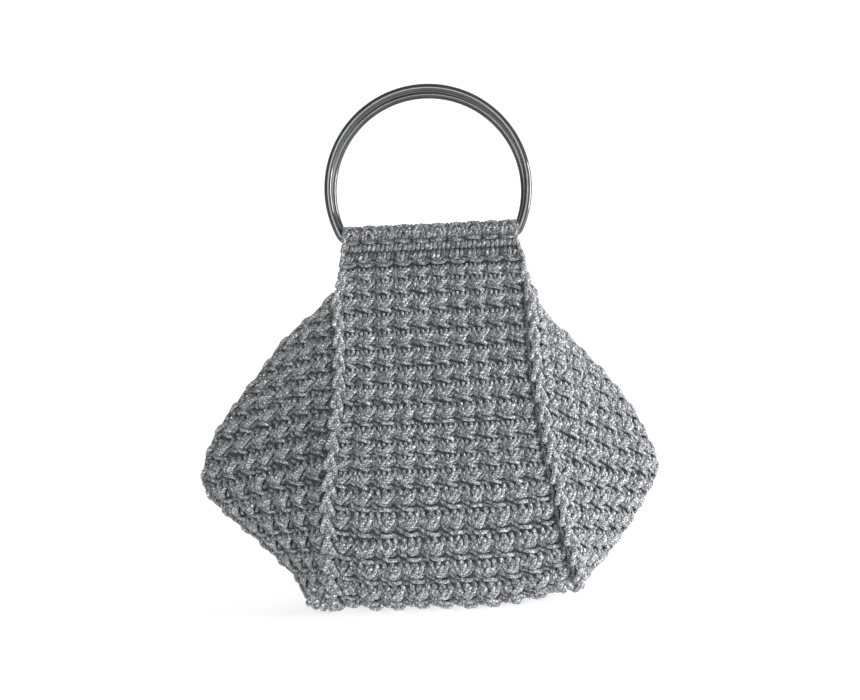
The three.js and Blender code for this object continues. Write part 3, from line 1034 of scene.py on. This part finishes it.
BRAID_PITCH = 12.8
BRAID_TOP = 213
BRAID_TAPER = 34
BRAID_REACH = table(
    ("height", "left", "right"),
    (179, 0.5, 2.8),
    (190, 1.6, 2.0),
    (197, 1.6, 0.8),
    (205, -2.0, -0.5),
    (213, -3.0, -0.8),
)
BRAID_ARM = (
    (1.0, -0.02, -1.8), (0.6, 0.10, 0.6), (-0.8, 0.34, 1.5),
    (-2.2, 0.62, 1.3), (-3.1, 0.84, 0.4), (-2.7, 1.02, -1.8))
BRAID_CORE = ((-0.3, 0.50, -2.2), (-1.1, 0.72, -0.9), (-1.2, 0.95, -0.8), (-0.6, 1.10, -2.2))
BRAID_STRANDS = ((1.6, BRAID_ARM, 14), (1.35, BRAID_CORE, 8))
BRAID_LIFTS = {-1: 2.3, 1: 1.5}
BRAID_LEANS = {-1: 0.3, 1: -0.15}
BRAID_HEIGHTS = (60, 185, 213)
BRAID_SPREADS = (1.15, 0.75, 0.4)
# Painted light on the braids: millimetres added to the yarn's height, which lightens its colour but does not
# move it
BRAID_PAINTED_LIGHT = {-1: 2.0, 1: 0.9}
BRAID_FOOT = (25, 80)
BRAID_FOOT_LIFT = 0.9
EDGE_CORD_RADIUS = 1.4
EDGE_CORD_INSETS = {-1: 1.6, 1: 0.6}
EDGE_CORD_DEPTHS = {-1: 1.0, 1: 1.9}
EDGE_CORD_STEPS = 240
BRAID_STEPS = 1201
BRAID_SHAKE = np.array([0.15, 0.02, 0.12])
BRAID_STAGGER = 0.1
BRAID_DEPTH = 0.4


def sampled(values, travel, where):
    """Rows of values, such as points, at places between their travels along a line."""
    return np.stack([np.interp(where, travel, column) for column in values.T], -1)


def braid(name, side):
    """A chain of looped yarn along the seam between the strip and a gusset, up to the hems."""
    top = place_of(STRIP, "edge_height", BRAID_TOP) / STRIP_LAST
    along = np.linspace(-top, top, BRAID_STEPS)
    out = facing(strip_point, along, float(side))
    edge = strip_point(along, float(side))
    ends = np.clip((edge[:, 2:] - BRAID_TOP + BRAID_TAPER) / BRAID_TAPER, 0, 1)
    reach = np.interp(edge[:, 2:], BRAID_REACH["height"], BRAID_REACH["left" if side < 0 else "right"])
    lift = BRAID_LIFTS[side] + np.interp(edge[:, 2:], BRAID_FOOT, (BRAID_FOOT_LIFT, 0))
    line = edge + out * lift * (1 - ends) + np.array([side, 0, 0]) * reach
    travel = travel_of(line)
    links = round(travel[-1] / BRAID_PITCH)
    pitch = travel[-1] / links
    up = unit(out - np.array([BRAID_LEANS[side] * side, 0, 0]))
    aside = unit(np.cross(np.gradient(line, axis=0), up))
    yarn = Yarn()
    cord = edge - out * EDGE_CORD_DEPTHS[side] - np.array([side * EDGE_CORD_INSETS[side], 0, 0])
    picked = np.linspace(0, len(along) - 1, EDGE_CORD_STEPS).astype(int)
    depths = np.full((1, EDGE_CORD_STEPS), -EDGE_CORD_DEPTHS[side])
    yarn.add(cord[picked][None], out[picked][None], EDGE_CORD_RADIUS, depths)
    for radius, knots, samples in BRAID_STRANDS:
        curve = spline(len(knots), samples)
        for hand in (-1, 1):
            turned = np.array(knots) * np.array([hand, 1, 1])
            turned = turned + draw.normal(0, 1, (links, *turned.shape)) * BRAID_SHAKE
            places = np.einsum("sk,ckd->csd", curve, turned)
            where = (np.arange(links)[:, None] + places[..., 1] + BRAID_STAGGER * hand) * pitch
            middle = sampled(line, travel, where)
            way_up = sampled(up, travel, where)
            spread = np.interp(middle[..., 2:], BRAID_HEIGHTS, BRAID_SPREADS)
            points = middle + sampled(aside, travel, where) * places[..., :1] * spread
            points += way_up * (places[..., 2:] - BRAID_DEPTH)
            # The braid's heights carry its painted light
            yarn.add(points, unit(way_up), radius, places[..., 2] + BRAID_PAINTED_LIGHT[side])
    return yarn.make(name, YARN)


# Handles

CORNER_STEPS = 14
BOW_STEPS = 170
BAR_STEPS = 30
ROD_SIDES = 28


def handle(name, depth):
    """A polished rod bent to a bow with a straight bar below it."""
    drop = BOW_CENTRE_ABOVE_BAR - CORNER_RADIUS
    corner_out = math.sqrt((BOW_RADIUS - CORNER_RADIUS) ** 2 - drop ** 2)
    lean = math.atan2(drop, corner_out)
    corner = np.linspace(-math.pi / 2, -lean, CORNER_STEPS)
    bow = np.linspace(-lean, math.pi + lean, BOW_STEPS)[1:-1]
    turn = CORNER_RADIUS * np.stack([np.cos(corner), np.sin(corner)], -1)
    right = np.array([corner_out, CORNER_RADIUS]) + turn
    top = np.stack([BOW_RADIUS * np.cos(bow), BOW_CENTRE_ABOVE_BAR + BOW_RADIUS * np.sin(bow)], -1)
    left = right[::-1] * np.array([-1, 1])
    bar = np.stack([np.linspace(-corner_out, corner_out, BAR_STEPS)[1:-1], np.zeros(BAR_STEPS - 2)], -1)
    line = np.concatenate([right, top, left, bar])
    run = unit(np.roll(line, -1, axis=0) - np.roll(line, 1, axis=0))
    outward = np.stack([run[:, 1], -run[:, 0]], -1)
    angle = np.arange(ROD_SIDES) * 2 * math.pi / ROD_SIDES
    flat = line[:, None] + ROD_RADIUS * np.cos(angle)[None, :, None] * outward[:, None]
    y = depth + ROD_RADIUS * np.sin(angle)
    points = points_of(flat[..., 0], y, BAR_HEIGHT + flat[..., 1]).reshape(-1, 3)
    index = np.arange(len(line) * ROD_SIDES).reshape(len(line), ROD_SIDES)
    on = np.roll(index, -1, axis=0)
    beside = np.roll(index, -1, axis=1)
    quads = np.stack([index, beside, np.roll(on, -1, axis=1), on], -1)
    mesh = mesh_of(name, points * MILLIMETRE, quads.reshape(-1), np.full(quads.size // 4, 4))
    return object_of(name, mesh, METAL)


# Stage, lights and camera

SWEEP_FRONT = -2.4
SWEEP_FLOOR_ENDS = 0.9
SWEEP_CURVE = 0.8
SWEEP_CURVE_STEPS = 24
SWEEP_TOP = 3.0
SWEEP_SIDES = (-3.0, 3.0)


def stage():
    """A paper sweep, in metres: floor, curve and backdrop."""
    turn = np.linspace(0, math.pi / 2, SWEEP_CURVE_STEPS)
    curve = np.stack([SWEEP_FLOOR_ENDS + SWEEP_CURVE * np.sin(turn), SWEEP_CURVE * (1 - np.cos(turn))], -1)
    top = (SWEEP_FLOOR_ENDS + SWEEP_CURVE, SWEEP_TOP)
    profile = np.concatenate([[(SWEEP_FRONT, 0.0)], curve, [top]])
    points = np.concatenate([points_of(x, profile[:, 0], profile[:, 1]) for x in SWEEP_SIDES])
    low = np.arange(len(profile) - 1)
    faces = np.stack([low, low + len(profile), low + len(profile) + 1, low + 1], -1)
    mesh = mesh_of("sweep", points, faces.reshape(-1), np.full(len(faces), 4))
    sweep = object_of("sweep", mesh, stage_material())


def area_light(name, place, aim, size, power):
    """A soft square light that faces a point."""
    data = bpy.data.lights.new(name, "AREA")
    data.size = size
    data.energy = power
    light = bpy.data.objects.new(name, data)
    light.location = place
    light.rotation_euler = (Vector(aim) - Vector(place)).to_track_quat("-Z", "Y").to_euler()
    bpy.context.scene.collection.objects.link(light)


ROOM_LIGHT = 0.15


def lights():
    """A key on the right, a wide fill in front, and a dim room."""
    area_light("key", place=(1.3, -0.25, 0.3), aim=(0, 0, 0.15), size=0.6, power=24)
    area_light("fill", place=(-0.2, -1.75, 0.2), aim=(0, 0, 0.12), size=1.2, power=29)
    world = bpy.data.worlds.new("room")
    world.use_nodes = True
    world.node_tree.nodes["Background"].inputs["Color"].default_value = (1, 1, 1, 1)
    world.node_tree.nodes["Background"].inputs["Strength"].default_value = ROOM_LIGHT
    bpy.context.scene.world = world
    bpy.context.scene.view_settings.view_transform = "Standard"


CAMERA_PLACE = (0.008, -1.0, 0.2115)
CAMERA_AIM = (-0.0036, 0.0, 0.1593)
CAMERA_ROLL = math.radians(-2.6)
CAMERA_LENS = 65.3
CAMERA_SENSOR = 36


def camera():
    """A camera at the photograph's angle."""
    data = bpy.data.cameras.new("camera")
    data.lens = CAMERA_LENS
    data.sensor_width = CAMERA_SENSOR
    made = bpy.data.objects.new("camera", data)
    look = (Vector(CAMERA_AIM) - Vector(CAMERA_PLACE)).to_track_quat("-Z", "Y")
    made.matrix_world = (
        Matrix.Translation(CAMERA_PLACE) @ look.to_matrix().to_4x4() @ Matrix.Rotation(CAMERA_ROLL, 4, "Z"))
    bpy.context.scene.collection.objects.link(made)
    bpy.context.scene.camera = made


# The bag

camera()
lights()
stage()

body_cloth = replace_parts(strip_wall(), "body_strip")
left_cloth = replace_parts(gusset_wall("left_gusset_cloth", -1), "left_gusset")
right_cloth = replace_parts(gusset_wall("right_gusset_cloth", 1), "right_gusset")
back_lines, base_lines, front_lines = strip_rows()
body_yarn = [
    strip_stitches("front_stitches", front_lines),
    strip_stitches("base_stitches", base_lines),
    strip_stitches("back_stitches", back_lines),
    hem_stitches("front_hem_stitches", -1),
    hem_stitches("back_hem_stitches", 1),
]
left_yarn = [gusset_stitches("left_gusset_stitches", -1)]
right_yarn = [gusset_stitches("right_gusset_stitches", 1)]
left_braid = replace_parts(braid("left_seam_braid", -1), "left_seam")
right_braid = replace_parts(braid("right_seam_braid", 1), "right_seam")
cloths = [body_cloth, left_cloth, right_cloth]
for piece in [*cloths, *body_yarn, *left_yarn, *right_yarn, left_braid, right_braid]:
    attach(piece, "bag")
for body, depth in (("front_handle", -BAR_DEPTH), ("back_handle", BAR_DEPTH)):
    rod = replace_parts(handle(body + "_rod", depth), body)
    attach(rod, body)
